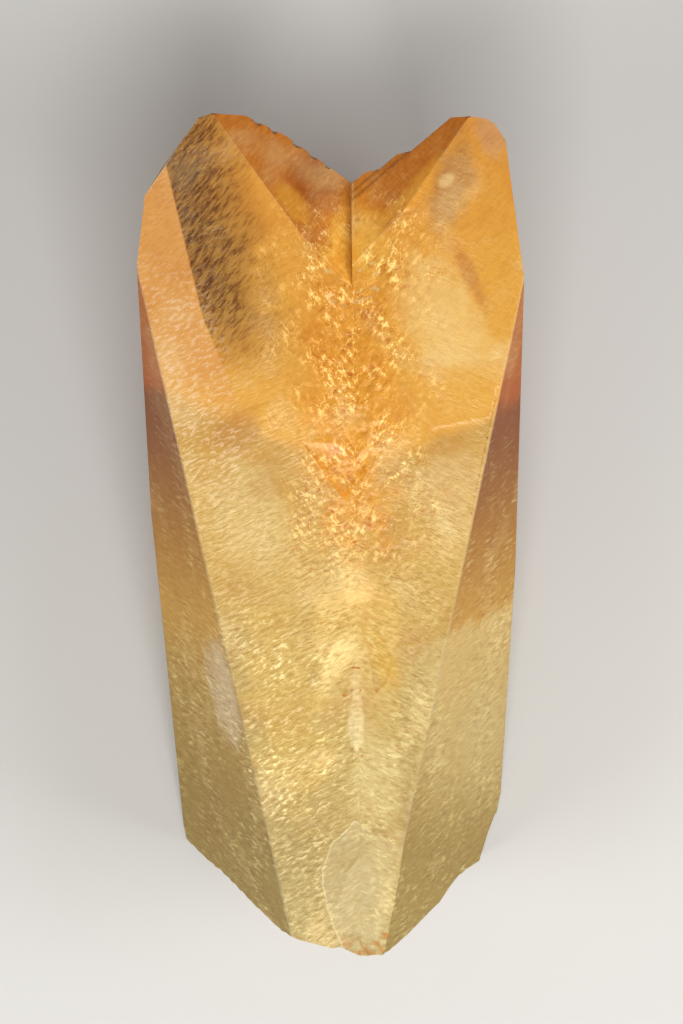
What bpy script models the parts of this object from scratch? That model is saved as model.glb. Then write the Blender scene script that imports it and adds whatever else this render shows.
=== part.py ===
"""Calcite crystal: two pointed crystals grown together along a flat join, lying on its flat back.

Z is up and looks out of the broad front face. Y runs along the length toward the notched end.
The join between the two crystals is the plane X = 0 until the last step, which centres the piece.
Every crystal face is given by the direction its normal points seen from the front (degrees from
+X), how far that normal leans toward the viewer (degrees) and one point that it passes through.
The right crystal is written as its mirror image, so both tables read the same way.
"""
import math

import bmesh
import bpy
from mathutils import Matrix, Vector, noise

MM = 0.001

THICKNESS = 54.0
JOIN_OVERLAP = 0.15
STOCK = 400.0
STOCK_BOTTOM = -58.0
STOCK_END = -150.0
NOTCH_BACK_LEAN = -17.9

LEFT_FACES = [
    ("front", 180.0, 89.4, (0.0, -60.0, 0.0)),
    ("notch_front", 36.0, 54.4, (-15.12, -1.24, 0.0)),
    ("notch_back_inner", 57.8, NOTCH_BACK_LEAN, (0.0, 0.0, -9.28)),
    ("notch_back_outer", 69.2, NOTCH_BACK_LEAN, (-11.6, 8.5, -6.14)),
    ("back_slope", 66.8, -50.0, (0.0, -51.0, -54.0)),
    ("top", 106.75, -33.0, (-24.73, 12.57, -0.25)),
    ("corner", 144.7, 2.6, (-31.85, 5.2, 0.0)),
    ("side_front", 192.3, 15.8, (-30.5, -50.0, 0.0)),
    ("side_upper", 172.8, -9.6, (-37.7, -8.0, 0.0)),
    ("side_middle", 173.25, -14.0, (-38.46, -14.11, -0.47)),
    ("side_lower", 175.34, -20.0, (-36.8, -58.0, -27.78)),
]

RIGHT_FACES = [
    ("front", 180.0, 89.5, (0.0, -60.0, -0.12)),
    ("notch_front", 36.2, 54.4, (-13.33, 0.19, 0.0)),
    ("notch_back", 54.25, NOTCH_BACK_LEAN, (-9.76, 4.86, -4.04)),
    ("back_slope", 66.2, -50.0, (0.0, -50.2, -54.0)),
    ("top", 98.7, -18.7, (-21.11, 11.47, -0.28)),
    ("corner_inner", 125.0, -6.0, (-25.2, 10.3, 0.0)),
    ("corner_outer", 148.0, -2.0, (-26.2, 9.0, 0.0)),
    ("side_front", 192.7, 16.5, (-22.8, -50.0, 0.0)),
    ("side_upper", 172.9, -9.6, (-29.24, -7.47, 0.0)),
    ("side_middle", 173.05, -14.0, (-30.33, -20.0, -2.53)),
    ("side_lower", 173.5, -20.0, (-28.6, -69.0, -33.2)),
]

# Two thin growth plates stepped down the back of the right notch face: direction and point of the
# rim, height of the flat tip, how far the plate's front lies below the notch face.
GROWTH_PLATES = [
    (53.6, (-8.1, 5.2, -5.13), 5.15, 0.35),
    (56.9, (-2.6, 2.3, -7.01), 2.2, 0.55),
]
PLATE_LENGTH = 17.0
PLATE_TIP_LEAN = -24.0
PLATE_LOW_END = -22.0
PLATE_TOP = -0.8
PLATE_BOTTOM = -12.5

# The left notch rim as a bent line, and small bites out of it: place along it, depth and width.
LEFT_RIM = [(-18.7, 12.1, -3.54), (-11.6, 8.5, -6.14), (0.0, 0.0, -9.28)]
BITE_DIRECTION = 55.0
BITE_LEAN = 18.0
RIM_BITES = [
    (0.10, 0.42, 1.6),
    (0.25, 0.50, 1.5),
    (0.46, 0.50, 2.0),
    (0.62, 0.45, 1.7),
    (0.76, 0.32, 1.4),
]

# Low growth terraces on the front. Each has its highest point, how its top is tipped (degrees from
# flat and the direction it falls toward), then its sides as normal direction and a point.
TERRACES = [
    ("left_plate", (-16.9, -45.6, -0.06), 1.1, 10.0, [
        (195.0, (-16.9, -45.6)), (208.0, (-12.6, -57.0)), (270.0, (-13.0, -64.0)),
        (110.0, (-19.0, -41.0)),
    ]),
    ("right_lower_plate", (11.5, -52.0, -0.13), 0.9, 350.0, [
        (166.0, (11.5, -52.0)), (88.0, (14.0, -41.6)), (275.0, (12.0, -63.0)),
    ]),
    ("right_upper_plate", (11.5, -39.8, -0.06), 1.2, 36.0, [
        (163.0, (9.0, -35.5)), (216.0, (11.5, -39.8)), (285.7, (13.7, -43.5)),
        (90.0, (12.0, -26.0)),
    ]),
    ("tent", (-1.24, -77.5, 0.13), 0.42, 270.0, [
        (140.6, (-1.24, -77.5)), (152.0, (-4.28, -81.2)), (180.0, (-8.6, -92.0)),
        (41.0, (-1.24, -77.5)), (8.0, (6.3, -86.0)), (270.0, (-1.0, -112.0)),
    ]),
]
TERRACE_SLOPE = 79.0
TERRACE_INSET = 0.5
TERRACE_ROOT = 0.9
FLAT = 90.0

# Ladder of short slabs along the join below the tent.
LADDER_TOP = -86.5
LADDER_BOTTOM = -103.5
LADDER_RUNGS = 13
LADDER_WIDTH = 1.7
LADDER_HEIGHT = 0.30
LADDER_MIDDLE = -0.35
RUNG_ROOT = 1.5
RUNG_OVERLAP = 0.25
RUNG_TOP_LEAN = 84.0
RUNG_SIDE_LEAN = 55.0
RUNG_END_LEAN = 40.0

# Shallow hollows with straight sides: floor point, floor normal direction and lean, wall slope,
# then the sides. The first is the valley that runs down the join from the notch.
HOLLOWS = [
    ("valley", None, None, None, [
        (189.2, -80.4, (-10.04, -7.34, 0.0)), (350.8, -80.6, (9.4, -7.34, 0.0)),
        (270.0, 0.0, (0.0, -64.0, 0.0)), (90.0, 0.0, (0.0, 2.0, 0.0)),
    ]),
    ("valley_foot", (0.0, -50.0, -0.42), 90.0, -87.6, [
        (216.0, -64.0, (-8.06, -48.4, 0.0)), (323.0, -68.0, (2.93, -51.2, 0.0)),
        (86.0, -74.0, (-3.0, -46.3, 0.0)),
    ]),
    ("kite", (2.2, -84.0, -0.42), 352.0, -83.0, [
        (43.0, -60.0, (1.31, -80.8, 0.0)), (344.0, -60.0, (5.88, -85.7, 0.0)),
        (317.0, -60.0, (3.09, -90.9, 0.0)), (190.0, -30.0, (1.9, -84.0, 0.0)),
    ]),
    ("notch_mark", (-2.6, -89.5, -0.18), 90.0, -88.0, [
        (80.0, -62.0, (-2.4, -87.8, 0.0)), (350.0, -62.0, (-1.9, -89.5, 0.0)),
        (205.0, -62.0, (-3.6, -89.5, 0.0)), (270.0, -62.0, (-2.4, -91.3, 0.0)),
    ]),
]

# Broken lower end: outline seen from the front, then how the break runs back from it.
BREAK_OUTLINE = [
    (-44.0, -106.0), (-31.6, -117.6), (-26.99, -121.87), (-24.16, -123.87), (-18.9, -129.04),
    (-14.53, -133.06), (-11.01, -134.64), (-4.86, -136.27), (-3.79, -135.92), (-2.2, -136.74),
    (-0.26, -137.92), (2.23, -137.95), (4.37, -137.45), (8.49, -134.3), (12.99, -130.09),
    (14.96, -128.51), (16.24, -125.86), (19.11, -123.58), (22.15, -122.02), (23.28, -116.7),
    (24.38, -114.05), (27.5, -111.5), (38.0, -108.0),
]
BREAK_BACK_RISE = 0.26
BREAK_SWELL = 2.4
BREAK_STEP = 1.6
BREAK_ROUGHNESS = 0.5
BREAK_CELL = 1.5
BREAK_REACH = -165.0

# Flake scars on the front of the broken end: centre on the front, radius, depth, lean of axis.
SCARS = [
    ((7.6, -125.8), 14.6, 2.6, (0.10, -0.12)),
    ((6.0, -131.5), 7.6, 2.6, (-0.05, -0.22)),
    ((25.5, -117.0), 5.6, 1.5, (0.45, -0.10)),
]
SCAR_RIPPLE = 0.12
SCAR_RIPPLE_SPACING = 2.1


def face_normal(direction, lean):
    """Return the outward normal of a face from its two angles in degrees."""
    across = math.cos(math.radians(lean))
    return Vector((
        across * math.cos(math.radians(direction)),
        across * math.sin(math.radians(direction)),
        math.sin(math.radians(lean)),
    ))


def named_face(table, name):
    """Return the normal of one face of a table and the point it passes through."""
    _, direction, lean, point = next(face for face in table if face[0] == name)
    return face_normal(direction, lean), point


def slice_off(bm, normal, point):
    """Cut everything beyond a plane away and close the cut with one flat face."""
    bmesh.ops.bisect_plane(
        bm,
        geom=bm.verts[:] + bm.edges[:] + bm.faces[:],
        dist=1e-8,
        plane_co=Vector(point) * MM,
        plane_no=normal,
        clear_outer=True,
        clear_inner=False,
    )
    rim = [edge for edge in bm.edges if edge.is_boundary]
    if rim:
        bmesh.ops.holes_fill(bm, edges=rim, sides=0)


def put_in(collection, name, bm):
    """Make a named object of a bmesh, with its faces turned outward."""
    bmesh.ops.recalc_face_normals(bm, faces=bm.faces[:])
    mesh = bpy.data.meshes.new(name)
    bm.to_mesh(mesh)
    bm.free()
    item = bpy.data.objects.new(name, mesh)
    collection.objects.link(item)
    return item


def combine(target, tool, operation):
    """Join or cut one object with another and keep the result as a plain mesh."""
    bpy.context.view_layer.update()
    step = target.modifiers.new(operation.lower(), "BOOLEAN")
    step.operation = operation
    step.solver = "EXACT"
    step.object = tool
    bpy.context.view_layer.update()
    shape = bpy.data.meshes.new_from_object(target.evaluated_get(bpy.context.evaluated_depsgraph_get()))
    target.modifiers.remove(step)
    old = target.data
    target.data = shape
    bpy.data.meshes.remove(old)


def block(faces):
    """Return a bmesh of the solid left after a big cube is cut by every face given."""
    bm = bmesh.new()
    bmesh.ops.create_cube(bm, size=STOCK * MM)
    for normal, point in faces:
        slice_off(bm, normal, point)
    return bm


def half_crystal(table):
    """Return one crystal of the pair as a bmesh, on the side of negative X."""
    faces = [(face_normal(direction, lean), point) for _, direction, lean, point in table]
    faces.append((Vector((1.0, 0.0, 0.0)), (JOIN_OVERLAP, 0.0, 0.0)))
    faces.append((Vector((0.0, 0.0, -1.0)), (0.0, 0.0, STOCK_BOTTOM)))
    faces.append((Vector((0.0, -1.0, 0.0)), (0.0, STOCK_END, 0.0)))
    return block(faces)


def mirrored(bm):
    """Turn a bmesh into its mirror image across the join."""
    bmesh.ops.transform(bm, matrix=Matrix.Scale(-1.0, 4, (1.0, 0.0, 0.0)), verts=bm.verts[:])
    bmesh.ops.reverse_faces(bm, faces=bm.faces[:])
    return bm


def growth_plate(direction, rim_point, tip, sink):
    """Return one thin plate of the right notch, on the side of negative X."""
    notch, on_notch = named_face(RIGHT_FACES, "notch_front")
    faces = [
        (notch, Vector(on_notch) - notch * sink),
        (face_normal(direction, NOTCH_BACK_LEAN), rim_point),
        (face_normal(90.0, PLATE_TIP_LEAN), (0.0, tip, rim_point[2])),
        (face_normal(180.0, 0.0), (-PLATE_LENGTH, 0.0, 0.0)),
        (Vector((1.0, 0.0, 0.0)), (JOIN_OVERLAP * 0.6, 0.0, 0.0)),
        (Vector((0.0, -1.0, 0.0)), (0.0, PLATE_LOW_END, 0.0)),
        (Vector((0.0, 0.0, -1.0)), (0.0, 0.0, PLATE_BOTTOM - 3.0 * sink)),
        (Vector((0.0, 0.0, 1.0)), (0.0, 0.0, PLATE_TOP)),
    ]
    return block(faces)


def rim_bite(share, depth, width):
    """Return a small wedge that nicks the rim of the left notch, with crystal-like flat sides."""
    points = [Vector(point) for point in LEFT_RIM]
    first = (points[1] - points[0]).length
    run = share * (first + (points[2] - points[1]).length)
    start, end = points[:2] if run < first else points[1:]
    along = (end - start).normalized()
    place = start + along * (run if run < first else run - first)
    outward = face_normal(BITE_DIRECTION, BITE_LEAN)
    inner = place - outward * depth
    notch, _ = named_face(LEFT_FACES, "notch_front")
    faces = [
        (-outward, inner),
        ((along * 0.86 - outward * 0.5).normalized(), place + along * width * 0.5),
        ((-along * 0.64 - outward * 0.77).normalized(), place - along * width * 0.5),
        (outward, place + outward * 3.0),
        (notch, place + notch * 2.0),
        (-notch, place - notch * (1.2 + 2.0 * depth)),
    ]
    return block(faces)


def terrace(peak, tip, falls_toward, sides):
    """Return a low plate whose top is tipped a little and whose sides slope in."""
    faces = [
        (face_normal(falls_toward, FLAT - tip), peak),
        (Vector((0.0, 0.0, -1.0)), (0.0, 0.0, -TERRACE_ROOT)),
    ]
    for direction, (x, y) in sides:
        faces.append((face_normal(direction, TERRACE_SLOPE), (x, y, 0.0)))
    for table, side in ((LEFT_FACES, 1.0), (RIGHT_FACES, -1.0)):
        normal, point = named_face(table, "side_front")
        inset = (side * (point[0] + TERRACE_INSET), point[1], point[2])
        faces.append((Vector((side * normal.x, normal.y, normal.z)), inset))
    return block(faces)


def rung(index):
    """Return one slab of the ladder, tipped a little so that its lower end stands proud."""
    step = (LADDER_TOP - LADDER_BOTTOM) / LADDER_RUNGS
    y_top = LADDER_TOP - index * step
    height = LADDER_HEIGHT * (0.75 + 0.25 * math.cos(1.7 * index))
    half = LADDER_WIDTH * (0.5 + 0.12 * math.sin(2.3 * index))
    centre = LADDER_MIDDLE + 0.12 * math.sin(1.1 * index)
    faces = [
        (face_normal(90.0, RUNG_TOP_LEAN), (0.0, y_top - step, height)),
        (Vector((0.0, 0.0, -1.0)), (0.0, 0.0, -RUNG_ROOT)),
        (face_normal(0.0, RUNG_SIDE_LEAN), (centre + half, 0.0, 0.0)),
        (face_normal(180.0, RUNG_SIDE_LEAN), (centre - half, 0.0, 0.0)),
        (face_normal(90.0, 10.0), (0.0, y_top + RUNG_OVERLAP, 0.0)),
        (face_normal(270.0, RUNG_END_LEAN), (0.0, y_top - step, 0.0)),
    ]
    return block(faces)


def hollow(floor_point, floor_direction, floor_lean, sides):
    """Return the cutter of one straight-sided hollow."""
    faces = [(Vector((0.0, 0.0, 1.0)), (0.0, 0.0, 3.0))]
    if floor_point:
        faces.append((face_normal(floor_direction, floor_lean), floor_point))
    for direction, lean, point in sides:
        faces.append((face_normal(direction, lean), point))
    return block(faces)


def outline_height(x):
    """Return how low the broken end reaches at x, read along the outline."""
    for (x0, y0), (x1, y1) in zip(BREAK_OUTLINE, BREAK_OUTLINE[1:]):
        if x <= x1:
            return y0 + (y1 - y0) * max(0.0, (x - x0) / (x1 - x0))
    return BREAK_OUTLINE[-1][1]


def front_level(x, y):
    """Return the height of the visible front at a point seen from the front."""
    level = 0.0
    for table, side in ((LEFT_FACES, 1.0), (RIGHT_FACES, -1.0)):
        normal, point = named_face(table, "side_front")
        fall = normal.x * (side * x - point[0]) + normal.y * (y - point[1])
        level = min(level, point[2] - fall / normal.z)
    return level


def break_surface(x, z):
    """Return the height of the broken surface at x and at z behind the front."""
    low = outline_height(x)
    back = max(0.0, front_level(x, low) - z)
    fade = min(1.0, back / 9.0)
    swell = BREAK_SWELL * noise.noise(Vector((x * 0.062, z * 0.075, 4.3)))
    stepped = noise.noise(Vector((x * 0.11 + 2.0, z * 0.13, 9.1))) * 6.0 + 0.16 * x + 0.30 * back
    tread = math.floor(stepped / BREAK_STEP)
    ramp = stepped / BREAK_STEP - tread
    stair = BREAK_STEP * (tread + min(1.0, max(0.0, (ramp - 0.7) / 0.3)) - stepped / BREAK_STEP)
    grain = BREAK_ROUGHNESS * noise.noise(Vector((x * 0.42, z * 0.42, 1.7)))
    return low + BREAK_BACK_RISE * back + fade * (abs(swell) + 0.55 * stair + grain)


def break_cutter():
    """Return a solid whose upper side is the broken surface and which reaches down past the end."""
    left, right = BREAK_OUTLINE[0][0], BREAK_OUTLINE[-1][0]
    front, rear = 6.0, THICKNESS + 8.0
    columns = round((right - left) / BREAK_CELL)
    rows = round((front + rear) / (BREAK_CELL * 1.3))
    bm = bmesh.new()
    bmesh.ops.create_grid(bm, x_segments=columns, y_segments=rows, size=0.5)
    for vert in bm.verts:
        x = left + (vert.co.x + 0.5) * (right - left)
        z = front - (vert.co.y + 0.5) * (front + rear)
        vert.co = Vector((x, break_surface(x, min(z, 0.0)), z)) * MM
    walls = bmesh.ops.extrude_face_region(bm, geom=bm.faces[:])
    for item in walls["geom"]:
        if isinstance(item, bmesh.types.BMVert):
            item.co.y = BREAK_REACH * MM
    return bm


def scar_cutter(centre, radius, depth, lean):
    """Return a rippled ball that takes a shallow dish out of the front."""
    ball = (radius * radius + depth * depth) / (2.0 * depth)
    axis = Vector((lean[0], lean[1], 1.0)).normalized()
    middle = Vector((centre[0], centre[1], -depth)) + axis * ball
    bm = bmesh.new()
    bmesh.ops.create_icosphere(bm, subdivisions=5, radius=1.0)
    for vert in bm.verts:
        way = vert.co.normalized()
        from_axis = way.angle(-axis) * ball
        ripple = SCAR_RIPPLE * math.sin(2.0 * math.pi * from_axis / SCAR_RIPPLE_SPACING)
        uneven = 0.35 * noise.noise(way * 9.0)
        vert.co = (middle + way * (ball + ripple + uneven)) * MM
    return bm


for item in list(bpy.data.objects):
    bpy.data.objects.remove(item, do_unlink=True)

piece_collection = bpy.data.collections.new("calcite_crystal")
cutter_collection = bpy.data.collections.new("cutters")
bpy.context.scene.collection.children.link(piece_collection)
bpy.context.scene.collection.children.link(cutter_collection)

crystal = put_in(piece_collection, "crystal", half_crystal(LEFT_FACES))
additions = [("right_half", mirrored(half_crystal(RIGHT_FACES)))]
for number, plate in enumerate(GROWTH_PLATES, start=1):
    additions.append((f"growth_plate_{number}", mirrored(growth_plate(*plate))))
for name, *shape in TERRACES:
    additions.append((name, terrace(*shape)))
for number in range(LADDER_RUNGS):
    additions.append((f"rung_{number + 1}", rung(number)))

removals = [(name, hollow(*shape)) for name, *shape in HOLLOWS]
for number, bite in enumerate(RIM_BITES, start=1):
    removals.append((f"rim_bite_{number}", rim_bite(*bite)))
for number, scar in enumerate(SCARS, start=1):
    removals.append((f"scar_{number}", scar_cutter(*scar)))
removals.append(("broken_end", break_cutter()))

for operation, tools in (("UNION", additions), ("DIFFERENCE", removals)):
    for name, shape in tools:
        tool = put_in(cutter_collection, name, shape)
        tool.hide_render = True
        tool.display_type = "WIRE"
        combine(crystal, tool, operation)

solid = bmesh.new()
solid.from_mesh(crystal.data)
slice_off(solid, Vector((0.0, 0.0, -1.0)), (0.0, 0.0, -THICKNESS))
bmesh.ops.dissolve_limit(
    solid,
    angle_limit=math.radians(0.05),
    use_dissolve_boundaries=False,
    verts=solid.verts[:],
    edges=solid.edges[:],
)
bmesh.ops.remove_doubles(solid, verts=solid.verts[:], dist=0.00001)
low = [min(vert.co[axis] for vert in solid.verts) for axis in range(3)]
high = [max(vert.co[axis] for vert in solid.verts) for axis in range(3)]
centring = Vector((-(low[0] + high[0]) / 2.0, -(low[1] + high[1]) / 2.0, -low[2]))
bmesh.ops.translate(solid, vec=centring, verts=solid.verts[:])
bmesh.ops.recalc_face_normals(solid, faces=solid.faces[:])
solid.to_mesh(crystal.data)
solid.free()

calcite = bpy.data.materials.new("calcite")
calcite.use_nodes = True
shader = calcite.node_tree.nodes["Principled BSDF"]
shader.inputs["Base Color"].default_value = (0.80, 0.56, 0.20, 1.0)
shader.inputs["Roughness"].default_value = 0.25
shader.inputs["IOR"].default_value = 1.6
crystal.data.materials.clear()
crystal.data.materials.append(calcite)
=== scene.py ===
# %% [markdown]
# # Amber calcite twin
# Two pointed calcite crystals have grown together along one flat join, so the top ends in a
# V-shaped notch. The piece is clear amber at the notch and milky honey toward the broken end, and
# its faces carry fine etched relief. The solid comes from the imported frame; this script gives it
# its skin, its colour and what can be seen inside it.

# %% Load the frame
import math

import bmesh
import bpy
from mathutils import Euler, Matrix, Vector, kdtree, noise


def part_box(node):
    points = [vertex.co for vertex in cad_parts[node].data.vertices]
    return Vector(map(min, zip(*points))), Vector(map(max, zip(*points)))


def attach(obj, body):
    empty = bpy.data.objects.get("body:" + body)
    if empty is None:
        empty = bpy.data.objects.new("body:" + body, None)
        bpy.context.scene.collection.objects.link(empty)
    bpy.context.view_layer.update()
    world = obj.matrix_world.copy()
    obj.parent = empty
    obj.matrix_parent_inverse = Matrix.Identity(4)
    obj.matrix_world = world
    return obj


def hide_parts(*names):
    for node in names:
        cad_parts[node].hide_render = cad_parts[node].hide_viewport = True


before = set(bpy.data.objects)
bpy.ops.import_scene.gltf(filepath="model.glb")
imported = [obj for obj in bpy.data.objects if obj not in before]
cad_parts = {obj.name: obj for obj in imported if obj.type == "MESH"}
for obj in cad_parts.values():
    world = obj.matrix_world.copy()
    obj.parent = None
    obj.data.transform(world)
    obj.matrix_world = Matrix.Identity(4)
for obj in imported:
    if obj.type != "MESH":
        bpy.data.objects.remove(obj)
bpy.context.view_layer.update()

low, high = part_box("crystal")
print("crystal spans", [round(1000 * (b - a), 1) for a, b in zip(low, high)], "mm")

# %% [markdown]
# Most places on a crystal are easiest to give from where its parts meet. Here that is the point
# where the notch's rim meets the join, on the level of the broad front face. `crystal_mm` turns a
# place in the frame into millimetres from that point: across the join, along the length (positive
# toward the notch) and out of the front. Places and lengths are given that way all through.

# %% Where the join and the front are
MM = 0.001
JOIN_X = 4.03 * MM
NOTCH_Y = 62.54 * MM
FRONT_Z = 54.0 * MM
ORIGIN = Vector((JOIN_X, NOTCH_Y, FRONT_Z))


def crystal_mm(place):
    """Return a place in the frame as millimetres from the foot of the notch."""
    return (place - ORIGIN) / MM


print("foot of the notch is at", [round(1000 * c, 2) for c in ORIGIN], "mm in the frame")

# %% [markdown]
# The frame's solid is loose triangles, so a copy of it is merged at its corners. Triangles that
# lie in one plane then become one face again, because wear and relief below are worked out for
# whole crystal faces and the edges between them. The solid itself stays as it is.

# %% Copy and merge the solid
MERGE_WITHIN = 0.001 * MM
FLAT_WITHIN = math.radians(0.04)
skin = bmesh.new()
skin.from_mesh(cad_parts["crystal"].data)
bmesh.ops.remove_doubles(skin, verts=skin.verts[:], dist=MERGE_WITHIN)
bmesh.ops.dissolve_limit(
    skin, angle_limit=FLAT_WITHIN, verts=skin.verts[:], edges=skin.edges[:])
print("merged solid:", len(skin.faces), "faces")

# %% [markdown]
# No real crystal keeps knife edges: handling wears them to a narrow band that catches the light as
# a thin bright line. The long edges get such a band by a bevel before anything else is done to the
# skin. Short edges belong to small steps and breaks, and those near the back lie out of reach, so
# both stay as they are.

# %% Wear the long edges
WORN_WIDTH = 0.12 * MM
LONG_EDGE = 9.0 * MM
EDGE_ANGLE = math.radians(14)
OUT_OF_REACH = 8 * MM
long_edges = [
    edge for edge in skin.edges
    if edge.calc_length() > LONG_EDGE and EDGE_ANGLE < edge.calc_face_angle(0.0)
    and all(vert.co.z > OUT_OF_REACH for vert in edge.verts)]
bmesh.ops.bevel(
    skin, geom=long_edges, offset=WORN_WIDTH, offset_type="OFFSET", segments=1,
    profile=0.5, affect="EDGES", clamp_overlap=True)
print("worn edges:", len(long_edges))

# %% [markdown]
# A crystal face is flat, but a flat face with only its corners has nothing to carry relief. One way
# to get points is to remesh the whole solid, which would round every edge. Slicing it with many
# parallel planes keeps the edges exactly where they are and lays an even grid over each face, so
# that is done here. Each group of faces gets its own spacing: finest on the front, coarse on the
# back.

# %% Slice the faces into a grid
FRONT, SIDE, BREAK, BACK = range(4)
SPACING = {
    # for each group, the axis across which planes are laid and the millimetres between them
    FRONT: ((0, 0.50), (1, 0.50)),
    SIDE: ((1, 0.75), (2, 0.75)),
    BREAK: ((0, 1.0), (2, 1.0)),
    BACK: ((0, 2.4), (1, 2.4)),
}
FRONT_LOOKS_UP = 0.55
BACK_LOOKS_UP = -0.6
BREAK_LOOKS_ALONG = -0.55
BREAK_BELOW = NOTCH_Y - 100 * MM
ON_PLANE = 1e-7


def face_group(normal, centre):
    """Say which slicing a face gets, from the way it faces."""
    if normal.z > FRONT_LOOKS_UP:
        return FRONT
    if normal.z < BACK_LOOKS_UP:
        return BACK
    if normal.y < BREAK_LOOKS_ALONG and centre.y < BREAK_BELOW:
        return BREAK
    return SIDE


def slice_group(group, axis, spacing):
    """Cut the faces of one group with evenly spaced planes across one axis."""
    waiting = [face for face in skin.faces if face.material_index == group]
    ends = [vert.co[axis] for face in waiting for vert in face.verts]
    start, stop = min(ends), max(ends)
    count = int((stop - start) / (spacing * MM))
    normal = [0.0, 0.0, 0.0]
    normal[axis] = 1.0
    for step in range(1, count):
        place = start + (stop - start) * step / count
        edges = list({edge for face in waiting for edge in face.edges})
        verts = list({vert for face in waiting for vert in face.verts})
        point = [0.0, 0.0, 0.0]
        point[axis] = place
        cut = bmesh.ops.bisect_plane(
            skin, geom=verts + edges + waiting, dist=ON_PLANE, plane_co=point, plane_no=normal)
        waiting = [
            item for item in cut["geom"]
            if isinstance(item, bmesh.types.BMFace)
            and max(vert.co[axis] for vert in item.verts) > place + ON_PLANE
        ]


for face in skin.faces:
    face.material_index = face_group(face.normal, face.calc_center_median())
for group, cuts in SPACING.items():
    for axis, spacing in cuts:
        slice_group(group, axis, spacing)
print("sliced skin:", len(skin.faces), "faces")

# %% Make triangles and tidy slivers
SLIVER = 0.002 * MM
bmesh.ops.triangulate(skin, faces=skin.faces[:], quad_method="SHORT_EDGE", ngon_method="BEAUTY")
bmesh.ops.dissolve_degenerate(skin, dist=SLIVER, edges=skin.edges[:])
print("faces without slivers:", len(skin.faces))

# %% [markdown]
# Slow growth and weak acid in the rock leave calcite faces covered with low hillocks that overlap
# like shingles, each about a tenth of a millimetre proud. They point down the length, away from
# the join. A saw-tooth along that direction gives them: a slow rise, then a sharp drop, with one
# noise that bends the rows and a finer one that splits them into single hillocks.

# %% Shingle-like hillocks
SHINGLE_LENGTH = 1.7
ROW_BEND = 1.9
ROW_SPLIT = 1.1
GROWTH_LEAN = math.radians(25.0)


def ease(value, start, stop):
    """Rise smoothly from 0 at start to 1 at stop."""
    share = min(1.0, max(0.0, (value - start) / (stop - start)))
    return share * share * (3.0 - 2.0 * share)


def shingles(across, along, depth):
    """Return 0 to 1 over each shingle, for a place measured from the join."""
    side = math.copysign(1.0, across)
    run = -along * math.cos(GROWTH_LEAN) + abs(across) * math.sin(GROWTH_LEAN)
    wide = along * math.sin(GROWTH_LEAN) + abs(across) * math.cos(GROWTH_LEAN)
    bend = noise.noise(Vector((wide * 0.23, run * 0.12, 3.0 * side + depth * 0.1)))
    split = noise.noise(Vector((wide * 0.85, run * 0.42, 7.0 * side)))
    phase = run / SHINGLE_LENGTH + ROW_BEND * bend + ROW_SPLIT * split
    return phase - math.floor(phase)


print("shingle height at one place:", round(shingles(10.0, -60.0, 0.0), 3), "of the whole")

# %% [markdown]
# Each group of faces has its own mix. The front has hillocks and broad swells, strong low down and
# weak near the notch, and a crumpled surface in the valley along the join. The sides have long low
# ridges, and the broken end is plainly rough. Heights are in millimetres.

# %% Relief for each group of faces
SHINGLE_HEIGHT = 0.13
SWELL_HEIGHT = 0.20
FRONT_GROWS = (30.0, 80.0)
VALLEY_HALF_WIDTH = 6.5
VALLEY_DEPTH = 0.34
SIDE_HEIGHT = 0.10
SIDE_GROWS = (55.0, 100.0)
BREAK_COARSE = 0.30
BREAK_FINE = 0.14


def front_relief(place):
    """Return the height of the front's relief."""
    lower = ease(-place.y, *FRONT_GROWS)
    height = SHINGLE_HEIGHT * (0.12 + 0.88 * lower) * (shingles(*place) - 1.0)
    height += SWELL_HEIGHT * (0.3 + 0.7 * lower) * noise.noise(place * 0.11)
    inside = VALLEY_HALF_WIDTH - abs(place.x) + 2.0 * noise.noise(place * 0.2)
    valley = ease(inside, 0.0, 3.0) * ease(-place.y, 6.0, 16.0) * ease(place.y, -76.0, -56.0)
    crumple = abs(noise.noise(place * 0.62) + 0.5 * noise.noise(place * 1.4))
    return height - VALLEY_DEPTH * valley * crumple


def side_relief(place):
    """Return the height of the relief on the side faces: long low ridges and a few shingles."""
    lower = ease(-place.y, *SIDE_GROWS)
    ridges = noise.noise(Vector((place.x * 0.35, place.y * 0.03, place.z * 0.35)))
    return SIDE_HEIGHT * ridges + SIDE_HEIGHT * lower * (shingles(*place) - 0.8)


def break_relief(place):
    """Return the roughness of the broken end."""
    return BREAK_COARSE * noise.noise(place * 0.45) + BREAK_FINE * noise.noise(place * 1.3)


low_front = crystal_mm(Vector((0.0, -40.0 * MM, FRONT_Z)))
print("front relief at one low place:", round(front_relief(low_front), 3), "mm")

# %% [markdown]
# Points are now moved along their normals. The relief fades out toward every edge, so that the
# edges stay straight and no little wall stands where it ends. To know how far a point is from the
# nearest edge, all points on edges go into a search tree first.

# %% Move the points
FADE = 0.9
EDGE_BEND = math.radians(6.0)
TOUCHES_EDGE = 0.001
LEVEL_LOOKS_UP = 0.95
SLOPED_SHARE = 0.15
skin.normal_update()
on_edge = [
    vert for vert in skin.verts
    if max(edge.calc_face_angle(0.0) for edge in vert.link_edges) > EDGE_BEND]
edge_places = kdtree.KDTree(len(on_edge))
for index, vert in enumerate(on_edge):
    edge_places.insert(vert.co, index)
edge_places.balance()
moves = []
for vert in skin.verts:
    groups = {face.material_index for face in vert.link_faces}
    off_edge = edge_places.find(vert.co)[2] / MM
    if len(groups) > 1 or off_edge < TOUCHES_EDGE or BACK in groups:
        continue
    place = crystal_mm(vert.co)
    if FRONT in groups:
        height = front_relief(place) * (1.0 if vert.normal.z > LEVEL_LOOKS_UP else SLOPED_SHARE)
    elif SIDE in groups:
        height = side_relief(place)
    else:
        height = break_relief(place)
    moves.append((vert, vert.normal * height * ease(off_edge, 0.0, FADE) * MM))
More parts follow.
